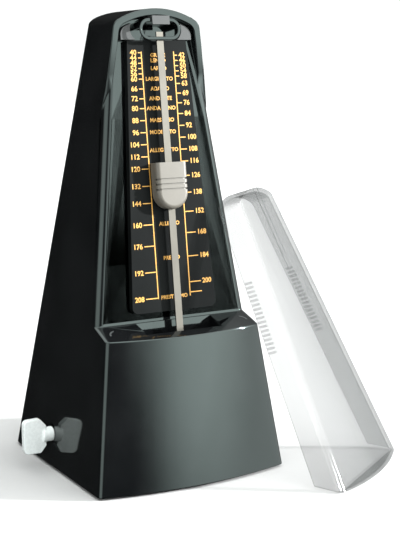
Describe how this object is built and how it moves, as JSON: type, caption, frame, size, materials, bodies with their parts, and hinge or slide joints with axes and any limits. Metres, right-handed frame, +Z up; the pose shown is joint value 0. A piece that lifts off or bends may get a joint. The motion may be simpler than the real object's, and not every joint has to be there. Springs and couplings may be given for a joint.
{
  "type": "metronome",
  "caption": "Tapered key-wound pendulum metronome with a set-back scale front, sliding weight, side winding key and clear cover leaning on it.",
  "frame": {"origin": "centre of the case's footprint on the surface it stands on, at the bottom of the feet", "axes": "+Z up, +X to the right of someone facing the scale, +Y from the scale to the back"},
  "size_m": [0.1752, 0.1576, 0.222],
  "materials": {
    "gloss_black": "polished black moulded case",
    "base_black": "fine-grained black moulding",
    "plate_grey": "satin dark grey plate with gold print",
    "head_grey": "satin grey moulding",
    "clear_plastic": "clear polished moulding",
    "foot_rubber": "black rubber",
    "key_white": "white moulded plastic",
    "rod_steel": "satin spring steel",
    "weight_grey": "satin warm grey die casting",
    "brass": "plain rolled and cut brass",
    "steel": "turned steel",
    "screw_steel": "zinc-plated screws",
    "spring_steel": "blued spring steel",
    "bob_iron": "cast counterweight"
  },
  "bodies": {
    "case": {"case_shell": "gloss_black", "base_cover": "base_black", "rubber_feet": "foot_rubber", "base_screws": "screw_steel", "scale_plate": "plate_grey", "head_plate": "head_grey", "pendulum_rest": "base_black", "cover_catch": "head_grey", "left_frame_plate": "brass", "right_frame_plate": "brass", "frame_pillars": "steel", "pillar_screws": "screw_steel", "frame_screws": "screw_steel", "front_bracket": "brass", "rear_bracket": "brass", "bracket_screws": "screw_steel", "arbor_bushings": "brass", "mainspring": "spring_steel", "spring_post": "steel"},
    "winding": {"winding_key": "key_white", "winding_arbor": "steel", "ratchet_wheel": "steel"},
    "great": {"great_wheel": "brass", "click_screw": "screw_steel", "click_spring": "spring_steel"},
    "click": {"click": "steel"},
    "second": {"second_arbor": "steel", "second_wheel": "brass"},
    "escape": {"escape_arbor": "steel", "crown_wheel": "brass"},
    "pendulum": {"pendulum_arbor": "steel", "front_pallet": "steel", "rear_pallet": "steel", "pendulum_hub": "brass", "hub_screw": "screw_steel", "pendulum_rod": "rod_steel", "counterweight": "bob_iron"},
    "weight": {"sliding_weight": "weight_grey", "weight_spring": "spring_steel"},
    "cover": {"front_cover": "clear_plastic"}
  },
  "joints": [
    {"name": "pendulum_swing", "type": "hinge", "parent": "case", "child": "pendulum", "pos_m": [0, -0.04399, 0.0522], "axis": [0, 0.9929, -0.1191], "range_deg": [-14, 14]},
    {"name": "weight_slide", "type": "slide", "parent": "pendulum", "child": "weight", "axis": [0, 0.1191, 0.9929], "range_m": [-0.0637, 0.0513]},
    {"name": "key_turn", "type": "hinge", "parent": "case", "child": "winding", "pos_m": [0, 0.005, 0.0166], "axis": [1, 0, 0], "continuous": true},
    {"name": "great_wheel_turn", "type": "hinge", "parent": "case", "child": "great", "pos_m": [0, 0.005, 0.0166], "axis": [1, 0, 0], "continuous": true},
    {"name": "second_wheel_turn", "type": "hinge", "parent": "case", "child": "second", "pos_m": [0, 0.00925, 0.03213], "axis": [1, 0, 0], "continuous": true},
    {"name": "crown_wheel_turn", "type": "hinge", "parent": "case", "child": "escape", "pos_m": [0, -0.00152, 0.04257], "axis": [1, 0, 0], "continuous": true},
    {"name": "click_lift", "type": "hinge", "parent": "great", "child": "click", "pos_m": [0, 0.005, 0.0256], "axis": [1, 0, 0], "range_deg": [-10, 0], "stiffness_Nm_per_rad": 0.002, "springref_deg": 17.19},
    {"name": "cover_lift", "type": "slide", "parent": "case", "child": "cover", "axis": [0, 0, 1], "range_m": [0, 0.2]}
  ],
  "couplings": [
    {"joint": "second_wheel_turn", "follows": "great_wheel_turn", "ratio": -2.8333},
    {"joint": "crown_wheel_turn", "follows": "great_wheel_turn", "ratio": 11.333}
  ]
}
